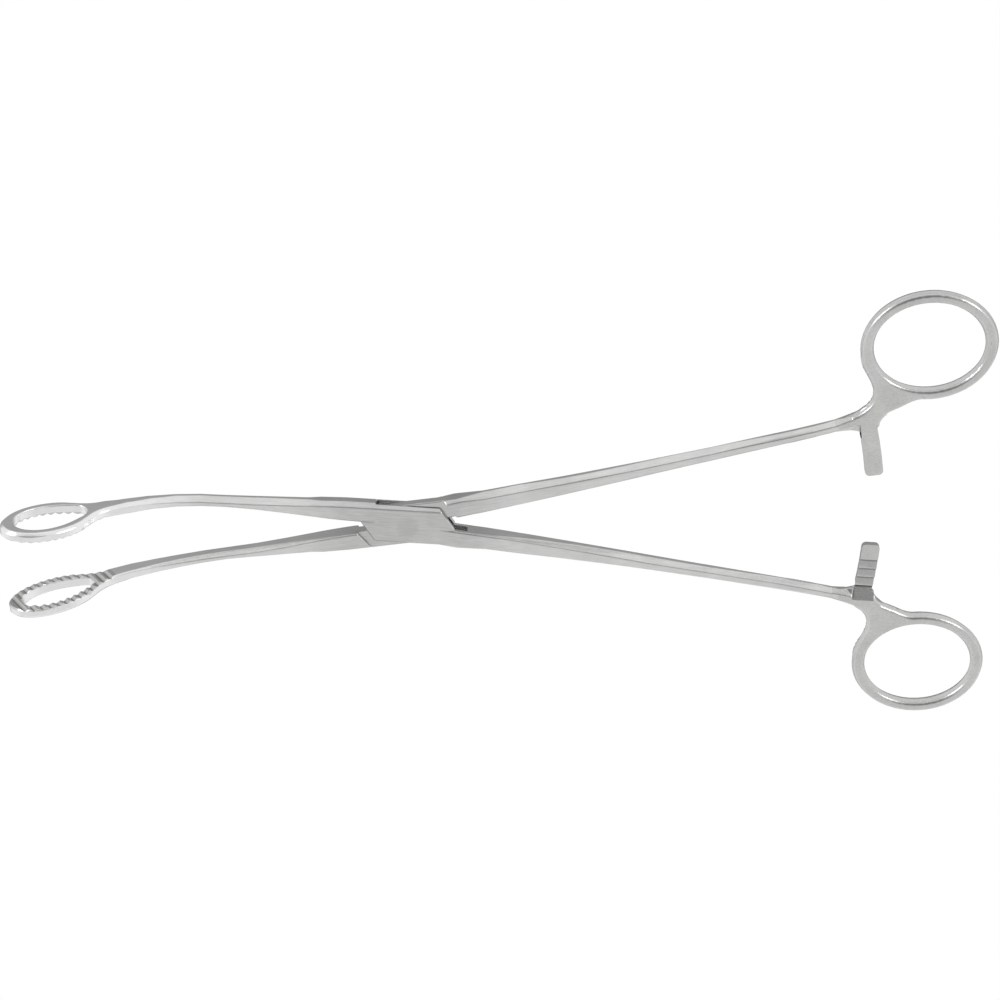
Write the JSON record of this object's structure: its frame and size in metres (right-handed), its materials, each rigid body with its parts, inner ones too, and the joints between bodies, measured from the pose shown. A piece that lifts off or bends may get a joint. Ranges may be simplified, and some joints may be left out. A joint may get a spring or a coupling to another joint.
{
  "type": "sponge holding forceps",
  "caption": "Curved sponge holding forceps in satin steel with fenestrated serrated jaws, a riveted box lock, finger rings and a four-step ratchet.",
  "frame": {"origin": "on the pivot axis, in the flat underside of the box lock", "axes": "+X along the closed forceps towards the finger rings (the jaws point to -X), +Z along the pivot axis towards the side that the jaws curve to, +Y across, towards the ring of the through half"},
  "size_m": [0.235, 0.1132, 0.0252],
  "materials": {
    "satin_steel": "satin",
    "rivet_steel": "satin"
  },
  "bodies": {
    "box_body": {"box_half": "satin_steel", "pivot_rivet": "rivet_steel"},
    "through_body": {"through_half": "satin_steel"}
  },
  "joints": [
    {"name": "lock_pivot", "type": "hinge", "parent": "box_body", "child": "through_body", "pos_m": [0, 0, 0.0024], "axis": [0, 0, 1], "range_deg": [-11, 35]}
  ]
}
